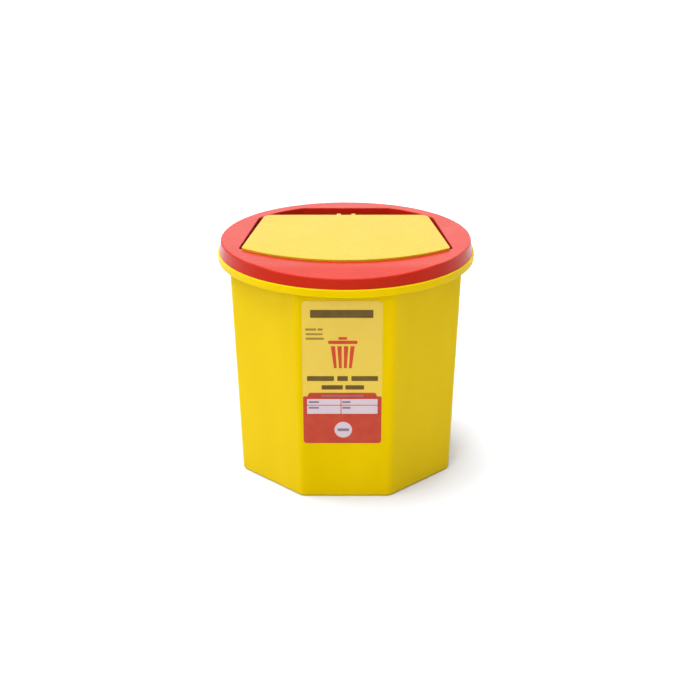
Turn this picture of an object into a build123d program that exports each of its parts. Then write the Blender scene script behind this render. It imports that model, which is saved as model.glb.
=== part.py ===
from build123d import *

import math
import os

# Sharps container: a tapered octagonal bin, a round press-on lid and a hinged disposal flap.
# Millimetres, +Z up, the origin at the middle of the base, -Y the front with the label.

# Walls
WALL = 1.6
LID_WALL = 1.4

# Octagonal body: radii reach the corners
BASE_RADIUS = 61.9
TOP_RADIUS = 66.4
SHOULDER_HEIGHT = 117.1
CREASE_ROUNDING = 4.5
BASE_EDGE_ROUNDING = 1.4
FLOOR_TOP = 2.8
FOOT_WIDTH = 7.0
FOOT_DEPTH = 1.0
GATE_RADIUS = 5.0
GATE_HEIGHT = 0.35
GATE_NUB_RADIUS = 1.2
GATE_NUB_HEIGHT = 0.3

# Collar, ledge and the rim that the lid presses over
COLLAR_RADIUS = 69.4
LEDGE_HEIGHT = 121.2
RIM_RADIUS = 65.6
RIM_TOP = 124.6
RIM_WALL = 1.4
BEAD = 0.25
RIM_BEAD_HEIGHT = 123.4
LID_BEAD = 0.2
LID_BEAD_HEIGHT = 122.1

# Lid: skirt, deck and sealing ring
SKIRT_RADIUS = 68.6
DECK_RADIUS = 67.5
DECK_TOP = 128.0
DECK_THICKNESS = 1.6
SKIRT_INNER_RADIUS = 66.3
SEAL_RADIUS = 63.7
SEAL_WALL = 1.1
SEAL_BOTTOM = 122.8
DECK_EDGE_ROUNDING = 0.9
RECESS_EDGE_ROUNDING = 0.5
SKIRT_EDGE_ROUNDING = 0.3

# Sloped front of the deck, where a finger reaches under the flap
SLOPE_START = 50.5
SLOPE_DROP = 1.45
SLOPE_BLEND = 70.0

# Recess in the deck, and its floor
RECESS_BACK = 54.8
RECESS_CORNER_RADIUS = 60.0
RECESS_CORNER_ANGLE = 35.0
RECESS_FRONT_HALF_WIDTH = 56.5
RECESS_FRONT_CORNER = -21.5
RECESS_FRONT = -40.5
RECESS_BACK_ROUNDING = 6.0
RECESS_FRONT_ROUNDING = 2.0
RECESS_FLOOR_TOP = 121.2

# Disposal opening in the recess floor, with notches that unscrew needles
OPENING_WIDTH = 66.0
OPENING_DEPTH = 36.0
OPENING_Y = -8.0
OPENING_LIP_HEIGHT = 1.5
OPENING_LIP_WIDTH = 1.2
OPENING_LIP_ROUNDING = 0.35
NOTCH_SPACING = 17.0
NOTCH_REACH = 6.0
NOTCH_RADIUS = 3.6
NOTCH_SLOT = 4.0

# Hinge bar on the lid and the flap's clips on it
HINGE_Y = 39.0
HINGE_Z = 126.4
BAR_RADIUS = 1.5
BAR_CLEARANCE = 0.05
LUG_RADIUS = 1.9
LUG_WIDTH = 1.8
LUG_INNER_X = 6.6
ARM_X = 4.1
ARM_WIDTH = 2.4
ARM_RADIUS = 2.75
CLIP_MOUTH = 2.4
ARM_EDGE_ROUNDING = 0.4
LUG_EDGE_ROUNDING = 0.3

# Flap
FLAP_TOP = 129.2
FLAP_BOTTOM = 128.05
FLAP_BACK = 37.2
FLAP_BACK_HALF_WIDTH = 45.8
FLAP_FRONT_CORNER = -23.6
FLAP_FRONT_HALF_WIDTH = 55.0
FLAP_FRONT = -44.3
FLAP_BACK_ROUNDING = 5.0
FLAP_FRONT_ROUNDING = 2.6
RIB_INSET = 2.0
RIB_WALL = 1.2
RIB_DEPTH = 3.0
RIB_TO_RECESS = 0.9
STIFFENER_DEPTH = 1.6
FLAP_EDGE_ROUNDING = 0.4

# Front label
LABEL_WIDTH = 41.4
LABEL_LENGTH = 81.1
LABEL_X = -1.8
LABEL_BOTTOM = 31.9
LABEL_THICKNESS = 0.2
LABEL_CORNER = 2.5

SIDES = 8
HALF_SIDE_ANGLE = 180.0 / SIDES
FACET_COSINE = math.cos(math.radians(HALF_SIDE_ANGLE))
RIM_INNER_RADIUS = RIM_RADIUS - RIM_WALL
SHOULDER_TOP = SHOULDER_HEIGHT + WALL
DECK_UNDERSIDE = DECK_TOP - DECK_THICKNESS
INTO_DECK = DECK_UNDERSIDE + 0.05
STIFFENER_BACK = FLAP_BACK - RIB_INSET - RIB_WALL / 2
STIFFENER_FRONT = RECESS_FRONT + RIB_TO_RECESS + RIB_WALL / 2
ARM_FRONT = FLAP_BACK - RIB_INSET - RIB_WALL


def corner_radius(height):
    """The octagon's outer corner radius at a height."""
    return BASE_RADIUS + (TOP_RADIUS - BASE_RADIUS) * height / SHOULDER_HEIGHT


def octagon(height, inset, rounding):
    """A rounded octagon at a height, its flats inset from the outside of the wall."""
    with BuildSketch(Plane.XY.offset(height)) as outline:
        RegularPolygon(corner_radius(height) - inset / FACET_COSINE, SIDES, rotation=HALF_SIDE_ANGLE)
        fillet(outline.vertices(), rounding)
    return outline.sketch


def flap_outline(height):
    """The flap's outline: straight back and sides, a bowed front."""
    with BuildSketch(Plane.XY.offset(height)) as outline:
        with BuildLine():
            Polyline(
                (-FLAP_FRONT_HALF_WIDTH, FLAP_FRONT_CORNER),
                (-FLAP_BACK_HALF_WIDTH, FLAP_BACK),
                (FLAP_BACK_HALF_WIDTH, FLAP_BACK),
                (FLAP_FRONT_HALF_WIDTH, FLAP_FRONT_CORNER),
            )
            ThreePointArc(
                (FLAP_FRONT_HALF_WIDTH, FLAP_FRONT_CORNER),
                (0, FLAP_FRONT),
                (-FLAP_FRONT_HALF_WIDTH, FLAP_FRONT_CORNER),
            )
        make_face()
        fillet(outline.vertices().group_by(Axis.Y)[-1], FLAP_BACK_ROUNDING)
        fillet(outline.vertices().group_by(Axis.Y)[0], FLAP_FRONT_ROUNDING)
    return outline.sketch


def recess_outline(height):
    """The recess's outline: straight back and sides, round back corners, a bowed front."""
    back_angle = math.degrees(math.asin(RECESS_BACK / RECESS_CORNER_RADIUS))
    sweep_angle = back_angle - RECESS_CORNER_ANGLE
    front_corner = (RECESS_FRONT_HALF_WIDTH, RECESS_FRONT_CORNER)
    with BuildSketch(Plane.XY.offset(height)) as outline:
        with BuildLine():
            right = CenterArc((0, 0), RECESS_CORNER_RADIUS, RECESS_CORNER_ANGLE, sweep_angle)
            left = CenterArc((0, 0), RECESS_CORNER_RADIUS, 180 - back_angle, sweep_angle)
            Line(right @ 1, left @ 0)
            Line(front_corner, right @ 0)
            Line(left @ 1, (-RECESS_FRONT_HALF_WIDTH, RECESS_FRONT_CORNER))
            ThreePointArc(
                (-RECESS_FRONT_HALF_WIDTH, RECESS_FRONT_CORNER),
                (0, RECESS_FRONT),
                front_corner,
            )
        make_face()
        fillet(outline.vertices().filter_by(lambda corner: corner.Y > 0), RECESS_BACK_ROUNDING)
        fillet(outline.vertices().group_by(Axis.Y)[0], RECESS_FRONT_ROUNDING)
    return outline.sketch


def slope_cutter(deck_height):
    """Everything above a deck that is level to SLOPE_START and then falls to the front."""
    far = SKIRT_RADIUS + 10
    fall = SLOPE_DROP * (far - SLOPE_START) / (SKIRT_RADIUS - SLOPE_START)
    with BuildPart() as cutter:
        with BuildSketch(Plane.YZ):
            with BuildLine():
                FilletPolyline(
                    (-SLOPE_START + 20, deck_height),
                    (-SLOPE_START, deck_height),
                    (-far, deck_height - fall),
                    radius=SLOPE_BLEND,
                )
                Polyline(
                    (-far, deck_height - fall),
                    (-far, deck_height + 10),
                    (-SLOPE_START + 20, deck_height + 10),
                    (-SLOPE_START + 20, deck_height),
                )
            make_face()
        extrude(amount=far, both=True)
    return cutter.part


def disposal_opening(height):
    """The opening's outline: a rounded slot with two keyhole notches in its front edge."""
    front_edge = OPENING_Y - OPENING_DEPTH / 2
    with BuildSketch(Plane.XY.offset(height)) as outline:
        with Locations((0, OPENING_Y)):
            RectangleRounded(OPENING_WIDTH, OPENING_DEPTH, OPENING_DEPTH / 2 - 4)
        for side in (-1, 1):
            with Locations((side * NOTCH_SPACING / 2, front_edge - NOTCH_REACH + NOTCH_RADIUS)):
                Circle(NOTCH_RADIUS)
            with Locations((side * NOTCH_SPACING / 2, front_edge)):
                Rectangle(NOTCH_SLOT, NOTCH_REACH)
    return outline.sketch


def on_deck_edge(edge):
    """True for the edge between the deck and the skirt."""
    middle = edge @ 0.5
    return middle.Z > DECK_TOP - SLOPE_DROP - 0.3 and math.hypot(middle.X, middle.Y) > DECK_RADIUS - 0.5


def on_recess_edge(edge):
    """True for the edge between the deck and the recess's walls."""
    middle = edge @ 0.5
    near_recess = middle.Y > RECESS_FRONT - 1 and math.hypot(middle.X, middle.Y) < RECESS_CORNER_RADIUS + 1
    return abs(middle.Z - DECK_TOP) < 0.01 and near_recess


def on_opening_lip(edge):
    """True for the top edges of the lip round the disposal opening."""
    middle = edge @ 0.5
    return abs(middle.Z - RECESS_FLOOR_TOP - OPENING_LIP_HEIGHT) < 0.01


def on_lug_outside(edge):
    """True for the round outer edges of the hinge lugs."""
    if edge.geom_type != GeomType.CIRCLE:
        return False
    return abs(edge.radius - LUG_RADIUS) < 0.01 and abs((edge @ 0.5).X) > LUG_INNER_X + LUG_WIDTH - 0.01


def on_arm_back(edge):
    """True for the round side edges at the back of a hinge arm."""
    return edge.geom_type == GeomType.CIRCLE and (edge @ 0.5).Y > HINGE_Y + BAR_RADIUS + BAR_CLEARANCE + 0.01


# ---- Container body ----
with BuildPart() as container_body:
    add(octagon(0, 0, CREASE_ROUNDING))
    add(octagon(SHOULDER_TOP, 0, CREASE_ROUNDING))
    loft(ruled=True)
    fillet(container_body.faces().sort_by(Axis.Z)[0].edges(), BASE_EDGE_ROUNDING)

    # Shoulder, turned-down collar and rim
    with BuildSketch(Plane.XZ):
        with BuildLine():
            Polyline(
                (0, SHOULDER_HEIGHT),
                (RIM_RADIUS, SHOULDER_HEIGHT),
                (RIM_RADIUS, LEDGE_HEIGHT - WALL),
                (COLLAR_RADIUS - WALL, LEDGE_HEIGHT - WALL),
                (COLLAR_RADIUS - WALL, SHOULDER_HEIGHT),
                (COLLAR_RADIUS, SHOULDER_HEIGHT),
                (COLLAR_RADIUS, LEDGE_HEIGHT),
                (RIM_RADIUS, LEDGE_HEIGHT),
                (RIM_RADIUS, RIM_BEAD_HEIGHT - 2 * BEAD),
                (RIM_RADIUS + BEAD, RIM_BEAD_HEIGHT),
                (RIM_RADIUS, RIM_BEAD_HEIGHT + 2 * BEAD),
                (RIM_RADIUS, RIM_TOP),
                (0, RIM_TOP),
                close=True,
            )
        make_face()
    revolve(axis=Axis.Z)

    # Octagonal hollow up to the shoulder, round above it
    add(octagon(FLOOR_TOP, WALL, CREASE_ROUNDING - WALL))
    add(octagon(SHOULDER_TOP, WALL, CREASE_ROUNDING - WALL))
    loft(ruled=True, mode=Mode.SUBTRACT)
    with BuildSketch(Plane.XY.offset(SHOULDER_TOP)):
        Circle(RIM_INNER_RADIUS)
    extrude(amount=RIM_TOP - SHOULDER_TOP, mode=Mode.SUBTRACT)

    # Raised panel under the base, so that the body stands on its edge
    add(octagon(0, FOOT_WIDTH, CREASE_ROUNDING))
    extrude(amount=FOOT_DEPTH, mode=Mode.SUBTRACT)

    # Gate pad with the nub of the cut sprue, in the middle of the raised panel
    with BuildSketch(Plane.XY.offset(FOOT_DEPTH)):
        Circle(GATE_RADIUS)
    extrude(amount=-GATE_HEIGHT)
    with BuildSketch(Plane.XY.offset(FOOT_DEPTH - GATE_HEIGHT)):
        Circle(GATE_NUB_RADIUS)
    extrude(amount=-GATE_NUB_HEIGHT)

    # Softened edges of the rim and the collar
    circles = container_body.edges().filter_by(GeomType.CIRCLE)
    fillet(circles.filter_by_position(Axis.Z, RIM_TOP - 0.01, RIM_TOP + 0.01), 0.5)
    collar_edges = container_body.edges().filter_by(GeomType.CIRCLE)
    collar_edges = collar_edges.filter_by(lambda edge: abs(edge.radius - COLLAR_RADIUS) < 0.01)
    fillet(collar_edges, 0.45)

# ---- Front label, on the front facet ----
facet_base = BASE_RADIUS * FACET_COSINE
facet_top = TOP_RADIUS * FACET_COSINE
facet_slope = (facet_top - facet_base) / SHOULDER_HEIGHT
facet_angle = math.atan(facet_slope)
label_middle = LABEL_BOTTOM + LABEL_LENGTH / 2 * math.cos(facet_angle)
label_plane = Plane(
    origin=(LABEL_X, -(facet_base + facet_slope * label_middle), label_middle),
    x_dir=(1, 0, 0),
    z_dir=(0, -math.cos(facet_angle), -math.sin(facet_angle)),
)
with BuildPart() as front_label:
    with BuildSketch(label_plane):
        RectangleRounded(LABEL_WIDTH, LABEL_LENGTH, LABEL_CORNER)
    extrude(amount=LABEL_THICKNESS)

# ---- Lid ----
# The space under the deck and inside the skirt, which follows the sloped front
with BuildPart() as underside:
    with BuildSketch(Plane.XZ):
        with BuildLine():
            Polyline(
                (0, LEDGE_HEIGHT - 1),
                (SKIRT_INNER_RADIUS, LEDGE_HEIGHT - 1),
                (SKIRT_INNER_RADIUS, LID_BEAD_HEIGHT - 2 * LID_BEAD),
                (SKIRT_INNER_RADIUS - LID_BEAD, LID_BEAD_HEIGHT),
                (SKIRT_INNER_RADIUS, LID_BEAD_HEIGHT + 2 * LID_BEAD),
                (SKIRT_INNER_RADIUS, DECK_UNDERSIDE),
                (0, DECK_UNDERSIDE),
                close=True,
            )
        make_face()
    revolve(axis=Axis.Z)
    add(slope_cutter(DECK_UNDERSIDE), mode=Mode.SUBTRACT)

with BuildPart() as lid:
    # Skirt and deck, tapered a little, with the sloped front and a rounded edge
    with BuildSketch(Plane.XZ):
        with BuildLine():
            Polyline(
                (0, LEDGE_HEIGHT),
                (SKIRT_RADIUS, LEDGE_HEIGHT),
                (DECK_RADIUS, DECK_TOP),
                (0, DECK_TOP),
                close=True,
            )
        make_face()
    revolve(axis=Axis.Z)
    add(slope_cutter(DECK_TOP), mode=Mode.SUBTRACT)
    fillet(lid.edges().filter_by(on_deck_edge), DECK_EDGE_ROUNDING)
    fillet(lid.edges().sort_by(Axis.Z)[0], SKIRT_EDGE_ROUNDING)
    add(underside.part, mode=Mode.SUBTRACT)

    # Sealing ring, which enters the body's rim
    with BuildSketch(Plane.XY.offset(SEAL_BOTTOM)):
        Circle(SEAL_RADIUS)
        Circle(SEAL_RADIUS - SEAL_WALL, mode=Mode.SUBTRACT)
    extrude(amount=INTO_DECK - SEAL_BOTTOM)

    # Recess tub, opened from above
    with BuildSketch(Plane.XY.offset(RECESS_FLOOR_TOP - LID_WALL)):
        add(recess_outline(0))
        offset(amount=LID_WALL)
    extrude(amount=INTO_DECK - RECESS_FLOOR_TOP + LID_WALL)
    add(recess_outline(RECESS_FLOOR_TOP))
    extrude(amount=DECK_TOP - RECESS_FLOOR_TOP + 1, mode=Mode.SUBTRACT)
    fillet(lid.edges().filter_by(on_recess_edge), RECESS_EDGE_ROUNDING)

    # Raised lip round the disposal opening, and the opening
    with BuildSketch(Plane.XY.offset(RECESS_FLOOR_TOP)):
        add(disposal_opening(0))
        offset(amount=OPENING_LIP_WIDTH)
    extrude(amount=OPENING_LIP_HEIGHT)
    add(disposal_opening(RECESS_FLOOR_TOP - LID_WALL))
    extrude(amount=LID_WALL + OPENING_LIP_HEIGHT, mode=Mode.SUBTRACT)
    fillet(lid.edges().filter_by(on_opening_lip), OPENING_LIP_ROUNDING)

    # Hinge lugs with the bar between them
    for side in (-1, 1):
        with BuildSketch(Plane.YZ.offset(side * (LUG_INNER_X + LUG_WIDTH / 2))):
            with Locations((HINGE_Y, HINGE_Z)):
                Circle(LUG_RADIUS)
            with Locations((HINGE_Y, (HINGE_Z + RECESS_FLOOR_TOP) / 2)):
                Rectangle(2 * LUG_RADIUS, HINGE_Z - RECESS_FLOOR_TOP)
        extrude(amount=LUG_WIDTH / 2, both=True)
    with BuildSketch(Plane.YZ):
        with Locations((HINGE_Y, HINGE_Z)):
            Circle(BAR_RADIUS)
    extrude(amount=LUG_INNER_X + LUG_WIDTH / 2, both=True)
    fillet(lid.edges().filter_by(on_lug_outside), LUG_EDGE_ROUNDING)

# ---- Flap ----
# Hinge arm: a clip that reaches back and snaps over the bar from above
with BuildPart() as hinge_arm:
    with BuildSketch(Plane.YZ):
        with Locations((HINGE_Y, HINGE_Z)):
            Circle(ARM_RADIUS)
        with BuildLine():
            Polyline(
                (ARM_FRONT, FLAP_BOTTOM - RIB_DEPTH),
                (HINGE_Y, HINGE_Z - ARM_RADIUS),
                (HINGE_Y, HINGE_Z + ARM_RADIUS),
                (ARM_FRONT, HINGE_Z + ARM_RADIUS),
                close=True,
            )
        make_face()
        with Locations((HINGE_Y, HINGE_Z)):
            Circle(BAR_RADIUS + BAR_CLEARANCE, mode=Mode.SUBTRACT)
        with Locations((HINGE_Y, HINGE_Z - ARM_RADIUS / 2)):
            Rectangle(CLIP_MOUTH, ARM_RADIUS, mode=Mode.SUBTRACT)
    extrude(amount=ARM_WIDTH / 2, both=True)
    fillet(hinge_arm.edges().filter_by(on_arm_back), ARM_EDGE_ROUNDING)

# The rib's outline is inside the flap's edge and clear of the recess's walls
with BuildSketch() as rib_limit:
    add(recess_outline(0))
    offset(amount=-RIB_TO_RECESS)

with BuildPart() as flap:
    # Plate
    add(flap_outline(FLAP_BOTTOM))
    extrude(amount=FLAP_TOP - FLAP_BOTTOM)
    fillet(flap.faces().sort_by(Axis.Z)[-1].edges(), FLAP_EDGE_ROUNDING)

    # Locating rib under the plate
    with BuildSketch(Plane.XY.offset(FLAP_BOTTOM)):
        add(flap_outline(0))
        offset(amount=-RIB_INSET)
        add(rib_limit.sketch, mode=Mode.INTERSECT)
        offset(amount=-RIB_WALL, mode=Mode.SUBTRACT)
    extrude(amount=-RIB_DEPTH)

    # Stiffening ribs from the hinge arms to the front of the locating rib
    with BuildSketch(Plane.XY.offset(FLAP_BOTTOM)):
        with Locations((-ARM_X, (STIFFENER_BACK + STIFFENER_FRONT) / 2)):
            Rectangle(RIB_WALL, STIFFENER_BACK - STIFFENER_FRONT)
        mirror(about=Plane.YZ)
    extrude(amount=-STIFFENER_DEPTH)

    # Hinge arms
    with Locations((-ARM_X, 0, 0), (ARM_X, 0, 0)):
        add(hinge_arm.part)

# ---- Export ----
container_body.part.label = "container_body"
front_label.part.label = "front_label"
lid.part.label = "lid"
flap.part.label = "flap"

os.makedirs("parts", exist_ok=True)
export_step(container_body.part, "parts/container_body.step")
export_step(front_label.part, "parts/front_label.step")
export_step(lid.part, "parts/lid.step")
export_step(flap.part, "parts/flap.step")
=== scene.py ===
import math

import bmesh
import bpy
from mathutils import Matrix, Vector


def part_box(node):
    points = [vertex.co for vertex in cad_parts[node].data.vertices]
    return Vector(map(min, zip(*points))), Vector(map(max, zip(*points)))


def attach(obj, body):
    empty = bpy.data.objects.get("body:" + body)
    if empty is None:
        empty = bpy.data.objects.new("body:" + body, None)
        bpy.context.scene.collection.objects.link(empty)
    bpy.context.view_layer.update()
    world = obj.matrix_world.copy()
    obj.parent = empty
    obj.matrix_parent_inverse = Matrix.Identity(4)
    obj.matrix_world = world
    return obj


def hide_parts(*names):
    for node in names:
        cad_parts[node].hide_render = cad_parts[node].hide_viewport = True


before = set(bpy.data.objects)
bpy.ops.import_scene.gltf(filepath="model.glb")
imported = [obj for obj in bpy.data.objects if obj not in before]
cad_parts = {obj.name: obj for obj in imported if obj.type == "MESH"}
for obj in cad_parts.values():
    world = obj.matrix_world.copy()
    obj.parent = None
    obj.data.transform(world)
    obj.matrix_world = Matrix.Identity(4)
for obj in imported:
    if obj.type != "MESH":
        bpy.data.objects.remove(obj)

# A sharps container in a white studio. Metres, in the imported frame: +Z up, -Y the label's side.

MM = 0.001
scene = bpy.context.scene
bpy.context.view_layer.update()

# Moulded plastics, by CAD slot: colour, stretch of the pigment's flow, roughness, scuffs and IOR
PLASTICS = {
    "body_yellow": ((0.58, 0.40, 0.0), (1, 1, 0.2), 0.32, 0.3, 1.15),
    "lid_red": ((0.36, 0.016, 0.006), (1, 1, 1), 0.25, 0.35, 1.29),
    "flap_yellow": ((0.46, 0.286, 0.011), (1, 0.5, 1), 0.27, 0.35, 1.26),
}
# Sizes and depths of what the plastics show, in millimetres
CLOUD_SIZE = 28.0
SPECK_SPACING = 1.6
WORN_EDGE = 0.9
WORN_PATCH = 3.0
SMUDGE_SIZE = 22.0
WAVE_SIZE, WAVE_DEPTH = 9.0, 0.009
GRAIN_SIZE, GRAIN_DEPTH = 0.45, 0.0016
SCRATCH_SIZE, SCRATCH_DEPTH = 14.0, 0.004
SCRATCH_STRETCH = (1.0, 26.0, 26.0)
SCRATCH_TURNS = ((0, 0, 25), (0, 0, 118), (70, 0, 60))
SUBSURFACE_REACH = 1.2

# Label: a film on the front facet, with printed areas on it. Positions are in millimetres from the
# middle of the label's bottom edge, across and up.
CAD_FILM_THICKNESS = 0.2
FILM_THICKNESS = 0.12
INK_THICKNESS = 0.03
EDGE_CHAMFER = 0.05
FILM_CORNER = 2.5
FILM_COLOUR = (0.60, 0.42, 0.050)
PANEL_RED = (0.39, 0.030, 0.014)
EMBLEM_RED = (0.45, 0.035, 0.012)
DARK_BROWN = (0.085, 0.045, 0.003)
FADED_BROWN = (0.24, 0.15, 0.018)
TABLE_WHITE = (0.50, 0.41, 0.45)
RULE_PINK = (0.26, 0.09, 0.10)
MARK_GREY = (0.17, 0.13, 0.17)
INK_IOR = 1.3
PANEL_MARGIN = 0.2
PANEL_BOTTOM, PANEL_TOP = 0.1, 27.5
PANEL_CORNERS = (1.8, 1.8, 0.8, 0.8)
TAB_HALF = 17.9
TAB_BOTTOM, TAB_TOP = 27.0, 29.6
TAB_CORNERS = (0.2, 0.2, 1.6, 1.6)
TABLE_HALF = 18.4
TABLE_BOTTOM, TABLE_TOP = 17.4, 25.9
TABLE_RULE = 22.4
TABLE_COLUMN = -0.7
TABLE_GAP = 0.22
TABLE_MARKS = ((-17.5, -12.2), (-0.1, 4.3))
TABLE_MARK_ROWS = (24.2, 20.9)
TABLE_MARK_HALF = 0.55
DISC_ACROSS, DISC_UP, DISC_RADIUS = 0.45, 8.05, 4.6
DISC_MARK_LEFT, DISC_MARK_RIGHT, DISC_MARK_HALF = -2.6, 3.5, 0.8
# Plain bars in place of the lettering: left, right, bottom, top
TAB_BAR = (-11.0, 11.2, 27.2, 28.2)
TITLE_BAR = (-16.3, 15.9, 71.7, 76.1)
WORD_BARS = (
    (-18.3, -4.3, 36.3, 39.1), (-2.6, 2.9, 36.3, 39.1), (4.7, 18.5, 36.3, 39.1),
    (-10.8, 0.3, 31.4, 33.9), (1.6, 11.3, 31.4, 33.9),
)
NOTE_BARS = ((-18.9, -13.3, 64.7, 65.9), (-12.6, -10.0, 64.7, 65.9), (-18.7, -9.4, 59.6, 60.8))
NOTE_LINE = (-18.7, -10.0, 62.2, 63.2)

# The bin pictogram: a body of upright staves, a lid over it and a knob over the lid
BIN_MIDDLE = 0.3
BIN_FOOT = 43.6
BIN_HEIGHT = 12.4
BIN_FOOT_HALF = 4.6
BIN_MOUTH_HALF = 6.2
BIN_STAVES = 4
BIN_STAVE_GAP = 1.1
BIN_LID_GAP = 1.2
BIN_LID_HALF, BIN_LID_HEIGHT, BIN_LID_CORNER = 7.6, 1.9, 0.8
BIN_KNOB_RISE = 2.4
BIN_KNOB_HALF, BIN_KNOB_HEIGHT, BIN_KNOB_CORNER = 2.3, 1.5, 0.7

# Studio: the light of the surroundings in front, behind and to the left, with the direction's Y where
# it starts to rise and is full, and the direction's Z where the white horizon starts to fade and ends
WORLD_FRONT_LEVEL = 0.16
WORLD_BACK_LEVEL = 1.30
WORLD_TO_LEFT = 0.10
WORLD_RISE_START, WORLD_RISE_END = -0.3, 0.9
HORIZON_FADE_START, HORIZON_FADE_END = 0.2, 0.4
# Soft boxes: direction, level, and the cosines where each starts and is full
SOFTBOXES = (
    ((-0.20, 0.03, 1.0), 7.5, 0.82, 0.92),
    ((-0.34, -1.0, 0.72), 6.2, 0.955, 0.985),
)
FLOOR_HALF = 60.0
FLOOR_GREY = (0.58, 0.59, 0.63)
FLOOR_PALE = (0.60, 0.61, 0.65)

CAMERA_PLACE = (0.0022, -0.7523, 0.3612)
CAMERA_TILT = 68.292
CAMERA_LENS = 74.57


# ---- Node helpers ----
def new_material(name):
    """An empty node material with a Principled shader."""
    material = bpy.data.materials.new(name)
    material.use_nodes = True
    tree = material.node_tree
    return material, tree, tree.nodes["Principled BSDF"]


def coordinates(tree, stretch=(1, 1, 1), turn=(0, 0, 0)):
    """Object coordinates, turned and stretched."""
    source = tree.nodes.new("ShaderNodeTexCoord")
    mapping = tree.nodes.new("ShaderNodeMapping")
    mapping.inputs["Scale"].default_value = stretch
    mapping.inputs["Rotation"].default_value = [math.radians(angle) for angle in turn]
    tree.links.new(source.outputs["Object"], mapping.inputs["Vector"])
    return mapping.outputs["Vector"]


def noise(tree, vector, size, detail=3.0, roughness=0.5):
    """Noise whose features are about size millimetres."""
    node = tree.nodes.new("ShaderNodeTexNoise")
    node.inputs["Scale"].default_value = 1.0 / (size * MM)
    node.inputs["Detail"].default_value = detail
    node.inputs["Roughness"].default_value = roughness
    tree.links.new(vector, node.inputs["Vector"])
    return node.outputs["Fac"]


def cells(tree, vector, size):
    """Distance to the nearest of points about size millimetres apart."""
    node = tree.nodes.new("ShaderNodeTexVoronoi")
    node.inputs["Scale"].default_value = 1.0 / (size * MM)
    tree.links.new(vector, node.inputs["Vector"])
    return node.outputs["Distance"]


def remap(tree, value, low, high, to_low, to_high):
    """A value clamped to low and high, and moved to a new range."""
    node = tree.nodes.new("ShaderNodeMapRange")
    node.inputs["From Min"].default_value = low
    node.inputs["From Max"].default_value = high
    node.inputs["To Min"].default_value = to_low
    node.inputs["To Max"].default_value = to_high
    tree.links.new(value, node.inputs["Value"])
    return node.outputs["Result"]


def math_node(tree, operation, first, second):
    """One arithmetic step on two values, each an output or a number."""
    node = tree.nodes.new("ShaderNodeMath")
    node.operation = operation
    for socket, value in zip(node.inputs, (first, second)):
        if isinstance(value, (int, float)):
            socket.default_value = value
        else:
            tree.links.new(value, socket)
    return node.outputs["Value"]


def mix(tree, factor, first, second):
    """Two colours mixed by a factor, each an output or a tuple."""
    node = tree.nodes.new("ShaderNodeMix")
    node.data_type = "RGBA"
    colour_inputs = [socket for socket in node.inputs if socket.type == "RGBA"]
    for socket, value in zip([node.inputs[0], *colour_inputs], (factor, first, second)):
        if isinstance(value, (int, float)):
            socket.default_value = value
        elif isinstance(value, tuple):
            socket.default_value = (*value, 1.0)
        else:
            tree.links.new(value, socket)
    return next(socket for socket in node.outputs if socket.type == "RGBA")


def bump(tree, height, depth, normal=None, strength=1.0):
    """A bump whose full height is depth millimetres, on top of another normal."""
    node = tree.nodes.new("ShaderNodeBump")
    node.inputs["Strength"].default_value = strength
    node.inputs["Distance"].default_value = depth * MM
    tree.links.new(height, node.inputs["Height"])
    if normal is not None:
        tree.links.new(normal, node.inputs["Normal"])
    return node.outputs["Normal"]


def edge_mask(tree, radius):
    """About 1 within radius millimetres of an edge, and 0 on open surfaces."""
    rounded = tree.nodes.new("ShaderNodeBevel")
    rounded.samples = 6
    rounded.inputs["Radius"].default_value = radius * MM
    surface = tree.nodes.new("ShaderNodeNewGeometry")
    product = tree.nodes.new("ShaderNodeVectorMath")
    product.operation = "DOT_PRODUCT"
    tree.links.new(rounded.outputs["Normal"], product.inputs[0])
    tree.links.new(surface.outputs["Normal"], product.inputs[1])
    return remap(tree, product.outputs["Value"], 1.0, 0.9, 0.0, 1.0)


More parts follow.
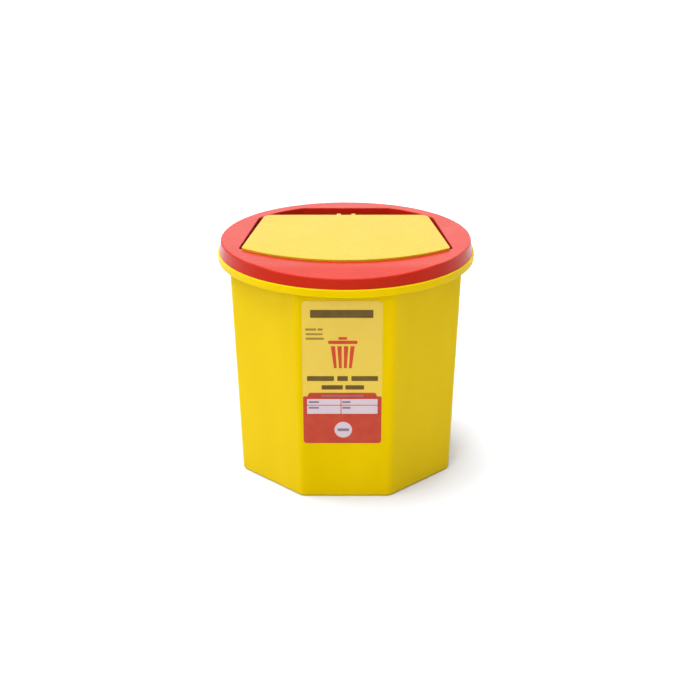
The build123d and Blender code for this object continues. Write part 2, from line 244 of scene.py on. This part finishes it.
# ---- Materials ----
def moulded_plastic(name, colour, flow_stretch, roughness, scuffs, ior):
    """Glossy polypropylene: pigment flow, moulded grain, rubbed edges, fine scratches and smudges."""
    material, tree, shader = new_material(name)
    plain = coordinates(tree)
    flow = coordinates(tree, stretch=flow_stretch)
    dark = tuple(channel * 0.965 for channel in colour)
    pale = tuple(min(channel * 1.025 + 0.001, 1.0) for channel in colour)
    rubbed = tuple(min(channel * 1.12 + 0.03, 1.0) for channel in colour)

    clouds = remap(tree, noise(tree, flow, CLOUD_SIZE, 4.0), 0.35, 0.65, 0.0, 1.0)
    base = mix(tree, clouds, dark, pale)
    specks = remap(tree, cells(tree, plain, SPECK_SPACING), 0.05, 0.12, 1.0, 0.0)
    base = mix(tree, math_node(tree, "MULTIPLY", specks, 0.035), base, dark)
    uneven = remap(tree, noise(tree, plain, WORN_PATCH), 0.4, 0.6, 0.1, 0.55)
    worn = math_node(tree, "MULTIPLY", edge_mask(tree, WORN_EDGE), uneven)
    base = mix(tree, worn, base, rubbed)
    tree.links.new(base, shader.inputs["Base Color"])

    scratches = scratch_lines(tree)
    smudges = remap(tree, noise(tree, plain, SMUDGE_SIZE, 3.0), 0.35, 0.65, -0.03, 0.04)
    rough = math_node(tree, "ADD", smudges, roughness)
    rough = math_node(tree, "ADD", rough, math_node(tree, "MULTIPLY", scratches, 0.22 * scuffs))
    rough = math_node(tree, "ADD", rough, math_node(tree, "MULTIPLY", worn, 0.12))
    tree.links.new(rough, shader.inputs["Roughness"])

    normal = bump(tree, noise(tree, plain, WAVE_SIZE, 1.0), WAVE_DEPTH)
    normal = bump(tree, noise(tree, plain, GRAIN_SIZE, 2.0, 0.6), GRAIN_DEPTH, normal)
    normal = bump(tree, scratches, SCRATCH_DEPTH, normal, strength=scuffs)
    tree.links.new(normal, shader.inputs["Normal"])

    shader.inputs["IOR"].default_value = ior
    shader.inputs["Subsurface Weight"].default_value = 0.08
    shader.inputs["Subsurface Scale"].default_value = SUBSURFACE_REACH * MM
    shader.inputs["Subsurface Radius"].default_value = (1.0, 0.5, 0.1)
    shader.inputs["Specular Tint"].default_value = (*(max(channel, 0.05) for channel in colour), 1.0)
    return material


def scratch_lines(tree):
    """Sparse fine lines in three directions, from strongly stretched noise."""
    lines = None
    for turn in SCRATCH_TURNS:
        vector = coordinates(tree, stretch=SCRATCH_STRETCH, turn=turn)
        line = remap(tree, noise(tree, vector, SCRATCH_SIZE, 1.0), 0.70, 0.74, 0.0, 1.0)
        lines = line if lines is None else math_node(tree, "MAXIMUM", lines, line)
    return lines


def printed_film(name, colour, roughness, thinning=0.05):
    """Coated label film or an ink on it: uneven ink, fine print grain and a lightly rippled coating."""
    material, tree, shader = new_material(name)
    plain = coordinates(tree)
    thin = tuple(ink + (film - ink) * thinning for ink, film in zip(colour, FILM_COLOUR))
    dense = tuple(channel * 0.95 for channel in colour)
    base = mix(tree, remap(tree, noise(tree, plain, 6.0, 5.0, 0.6), 0.3, 0.7, 0.0, 1.0), dense, thin)
    grain = remap(tree, noise(tree, plain, 0.22, 1.0), 0.35, 0.65, 0.0, 0.35)
    base = mix(tree, grain, base, dense)
    tree.links.new(base, shader.inputs["Base Color"])
    smudges = remap(tree, noise(tree, plain, 12.0, 4.0), 0.35, 0.7, roughness - 0.05, roughness + 0.08)
    tree.links.new(smudges, shader.inputs["Roughness"])
    normal = bump(tree, noise(tree, plain, 5.0, 2.0), 0.02)
    normal = bump(tree, noise(tree, plain, 0.3, 1.0), 0.003, normal)
    tree.links.new(normal, shader.inputs["Normal"])
    shader.inputs["IOR"].default_value = INK_IOR
    return material


# ---- Label pieces ----
class LabelPlane:
    """The front facet's plane, from the box of the CAD label."""

    def __init__(self):
        low, high = (Vector(corner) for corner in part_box("front_label"))
        film = CAD_FILM_THICKNESS * MM
        self.angle = math.atan2(high.y - low.y - film, high.z - low.z)
        self.up = Vector((0, -math.sin(self.angle), math.cos(self.angle)))
        self.out = Vector((0, -math.cos(self.angle), -math.sin(self.angle)))
        self.origin = Vector(((low.x + high.x) / 2, high.y, low.z + film * math.sin(self.angle)))
        self.width = (high.x - low.x) / MM
        self.height = (high.z - low.z) / math.cos(self.angle) / MM

    def point(self, across, up, out):
        """A place in millimetres across, up and out of the facet, in metres."""
        return self.origin + (Vector((across, 0, 0)) + self.up * up + self.out * out) * MM


def rounded_outline(left, right, bottom, top, radii, steps=6):
    """A rectangle with its own radius at each corner, from the bottom left anticlockwise."""
    outline = []
    corners = ((left, bottom, 180), (right, bottom, 270), (right, top, 0), (left, top, 90))
    for (x, y, start), radius in zip(corners, radii):
        centre_x = x + (radius if x == left else -radius)
        centre_y = y + (radius if y == bottom else -radius)
        for step in range(steps + 1):
            angle = math.radians(start + 90 * step / steps)
            outline.append((centre_x + radius * math.cos(angle), centre_y + radius * math.sin(angle)))
    return outline


def disc_outline(across, up, radius, steps=48):
    """A circle as a fine polygon."""
    angles = [2 * math.pi * step / steps for step in range(steps)]
    return [(across + radius * math.cos(angle), up + radius * math.sin(angle)) for angle in angles]


def flat_piece(name, outlines, bottom, top, material):
    """Closed flat solids on the label plane, each with a narrow chamfered edge at its top."""
    work = bmesh.new()
    for outline in outlines:
        middle = Vector((sum(p[0] for p in outline), sum(p[1] for p in outline))) / len(outline)
        chamfer = min((top - bottom) / 2, EDGE_CHAMFER)
        rings = []
        for inset, out in ((0, bottom), (0, top - chamfer), (chamfer, top)):
            ring = []
            for across, up in outline:
                towards = (middle - Vector((across, up))).normalized() * inset
                ring.append(work.verts.new(label.point(across + towards.x, up + towards.y, out)))
            rings.append(ring)
        count = len(outline)
        for below, above in zip(rings, rings[1:]):
            for index in range(count):
                after = (index + 1) % count
                work.faces.new((below[index], below[after], above[after], above[index]))
        work.faces.new(rings[-1])
        work.faces.new(list(reversed(rings[0])))
    bmesh.ops.recalc_face_normals(work, faces=work.faces)
    mesh = bpy.data.meshes.new(name)
    work.to_mesh(mesh)
    work.free()
    mesh.materials.append(material)
    piece = bpy.data.objects.new(name, mesh)
    scene.collection.objects.link(piece)
    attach(piece, "container")
    return piece


def bar(left, right, bottom, top, radius=0.35):
    """A plain bar with softened corners."""
    return rounded_outline(left, right, bottom, top, (radius,) * 4, 3)


def make_label():
    """The film, the red panel with its table and disc, the plain bars and the bin pictogram."""
    yellow_film = printed_film("printed_yellow_film", FILM_COLOUR, 0.34)
    red_ink = printed_film("printed_red_ink", PANEL_RED, 0.36)
    emblem_ink = printed_film("printed_emblem_ink", EMBLEM_RED, 0.36)
    dark_ink = printed_film("printed_dark_ink", DARK_BROWN, 0.42, 0.08)
    faded_ink = printed_film("printed_faded_ink", FADED_BROWN, 0.42, 0.08)
    white_ink = printed_film("printed_white_ink", TABLE_WHITE, 0.36)
    rule_ink = printed_film("printed_rule_ink", RULE_PINK, 0.40)
    grey_ink = printed_film("printed_grey_ink", MARK_GREY, 0.42)

    half = label.width / 2
    height = label.height
    film_top = FILM_THICKNESS
    first = film_top + INK_THICKNESS
    second = first + INK_THICKNESS

    film = rounded_outline(-half, half, 0, height, (FILM_CORNER,) * 4, 8)
    sheet = flat_piece("label_film_sheet", [film], 0, film_top, yellow_film)
    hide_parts("front_label")

    panel_half = half - PANEL_MARGIN
    panel = rounded_outline(-panel_half, panel_half, PANEL_BOTTOM, PANEL_TOP, PANEL_CORNERS)
    flat_piece("label_red_panel", [panel], film_top - INK_THICKNESS, first, red_ink)
    tab = rounded_outline(-TAB_HALF, TAB_HALF, TAB_BOTTOM, TAB_TOP, TAB_CORNERS)
    flat_piece("label_red_tab", [tab], film_top - INK_THICKNESS, first, red_ink)
    flat_piece("label_tab_line", [bar(*TAB_BAR)], first, second, rule_ink)

    table_cells = []
    for left, right in ((-TABLE_HALF, TABLE_COLUMN - TABLE_GAP), (TABLE_COLUMN + TABLE_GAP, TABLE_HALF)):
        table_cells.append(bar(left, right, TABLE_BOTTOM, TABLE_RULE - TABLE_GAP, 0.2))
        table_cells.append(bar(left, right, TABLE_RULE + TABLE_GAP, TABLE_TOP, 0.2))
    flat_piece("label_table_cells", table_cells, first, second, white_ink)
    marks = []
    for left, right in TABLE_MARKS:
        for middle in TABLE_MARK_ROWS:
            marks.append(bar(left, right, middle - TABLE_MARK_HALF, middle + TABLE_MARK_HALF, 0.3))
    flat_piece("label_table_marks", marks, second, second + INK_THICKNESS, grey_ink)

    disc = disc_outline(DISC_ACROSS, DISC_UP, DISC_RADIUS)
    flat_piece("label_disc", [disc], first, second, white_ink)
    disc_mark = bar(DISC_MARK_LEFT, DISC_MARK_RIGHT, DISC_UP - DISC_MARK_HALF, DISC_UP + DISC_MARK_HALF)
    flat_piece("label_disc_mark", [disc_mark], second, second + INK_THICKNESS, grey_ink)

    flat_piece("label_title_bar", [bar(*TITLE_BAR)], film_top, first, dark_ink)
    flat_piece("label_word_bars", [bar(*word) for word in WORD_BARS], film_top, first, dark_ink)
    flat_piece("label_note_bars", [bar(*note, 0.2) for note in NOTE_BARS], film_top, first, faded_ink)
    flat_piece("label_note_line", [bar(*NOTE_LINE, 0.2)], film_top, first, faded_ink)

    flat_piece("label_bin_pictogram", bin_outlines(), film_top, first, emblem_ink)


def bin_outlines():
    """A plain waste bin: a lid bar with a knob over a tapered body of upright staves."""
    outlines = []
    mouth = BIN_FOOT + BIN_HEIGHT
    for stave in range(BIN_STAVES):
        edges = []
        for half in (BIN_FOOT_HALF, BIN_MOUTH_HALF):
            width = (2 * half - BIN_STAVE_GAP * (BIN_STAVES - 1)) / BIN_STAVES
            left = BIN_MIDDLE - half + stave * (width + BIN_STAVE_GAP)
            edges.append((left, left + width))
        (foot_left, foot_right), (mouth_left, mouth_right) = edges
        foot_edge = [(foot_left, BIN_FOOT), (foot_right, BIN_FOOT)]
        outlines.append(foot_edge + [(mouth_right, mouth), (mouth_left, mouth)])
    lid_left, lid_right = BIN_MIDDLE - BIN_LID_HALF, BIN_MIDDLE + BIN_LID_HALF
    lid_bottom = mouth + BIN_LID_GAP
    outlines.append(bar(lid_left, lid_right, lid_bottom, lid_bottom + BIN_LID_HEIGHT, BIN_LID_CORNER))
    knob_left, knob_right = BIN_MIDDLE - BIN_KNOB_HALF, BIN_MIDDLE + BIN_KNOB_HALF
    knob_bottom = lid_bottom + BIN_KNOB_RISE
    outlines.append(bar(knob_left, knob_right, knob_bottom, knob_bottom + BIN_KNOB_HEIGHT, BIN_KNOB_CORNER))
    return outlines


# ---- Studio ----
def make_camera():
    """The camera, at the photographed height and angle."""
    data = bpy.data.cameras.new("camera")
    data.sensor_width = 36.0
    data.lens = CAMERA_LENS
    data.clip_start = 0.05
    camera = bpy.data.objects.new("camera", data)
    camera.location = CAMERA_PLACE
    camera.rotation_euler = (math.radians(CAMERA_TILT), 0, 0)
    scene.collection.objects.link(camera)
    scene.camera = camera


def make_world():
    """Surroundings brighter behind and to the left, two soft boxes, and a white horizon."""
    world = bpy.data.worlds.new("studio")
    world.use_nodes = True
    tree = world.node_tree
    direction = tree.nodes.new("ShaderNodeTexCoord")
    parts = tree.nodes.new("ShaderNodeSeparateXYZ")
    tree.links.new(direction.outputs["Generated"], parts.inputs[0])
    toward_back = parts.outputs["Y"]
    level = remap(tree, toward_back, WORLD_RISE_START, WORLD_RISE_END, WORLD_FRONT_LEVEL, WORLD_BACK_LEVEL)
    leftward = math_node(tree, "MULTIPLY", parts.outputs["X"], -WORLD_TO_LEFT)
    level = math_node(tree, "ADD", level, leftward)
    for box_direction, box_level, outer, inner in SOFTBOXES:
        towards_box = tree.nodes.new("ShaderNodeVectorMath")
        towards_box.operation = "DOT_PRODUCT"
        towards_box.inputs[1].default_value = Vector(box_direction).normalized()
        tree.links.new(direction.outputs["Generated"], towards_box.inputs[0])
        box = remap(tree, towards_box.outputs["Value"], outer, inner, 0.0, box_level)
        level = math_node(tree, "ADD", level, box)
    horizon = remap(tree, parts.outputs["Z"], HORIZON_FADE_START, HORIZON_FADE_END, 1.0, 0.0)
    level = math_node(tree, "MAXIMUM", level, horizon)
    background = tree.nodes["Background"]
    background.inputs["Color"].default_value = (1.0, 1.0, 1.0, 1.0)
    tree.links.new(level, background.inputs["Strength"])
    scene.world = world


def make_floor():
    """A plain white floor with a faint grain."""
    mesh = bpy.data.meshes.new("floor")
    half = FLOOR_HALF
    corners = [(-half, -half, 0), (half, -half, 0), (half, half, 0), (-half, half, 0)]
    mesh.from_pydata(corners, [], [(0, 1, 2, 3)])
    floor = bpy.data.objects.new("floor", mesh)
    scene.collection.objects.link(floor)
    material, tree, shader = new_material("studio_floor")
    grain = noise(tree, coordinates(tree), 40.0, 4.0)
    tree.links.new(mix(tree, grain, FLOOR_GREY, FLOOR_PALE), shader.inputs["Base Color"])
    shader.inputs["Roughness"].default_value = 0.85
    mesh.materials.append(material)


def dress_cad_nodes():
    """The moulded plastics on the CAD nodes."""
    looks = {slot: moulded_plastic(f"moulded_{slot}", *look) for slot, look in PLASTICS.items()}
    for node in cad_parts.values():
        for place in node.material_slots:
            if place.material.name in looks:
                place.material = looks[place.material.name]


make_camera()
make_world()
make_floor()
dress_cad_nodes()
label = LabelPlane()
make_label()
scene.view_settings.view_transform = "Standard"
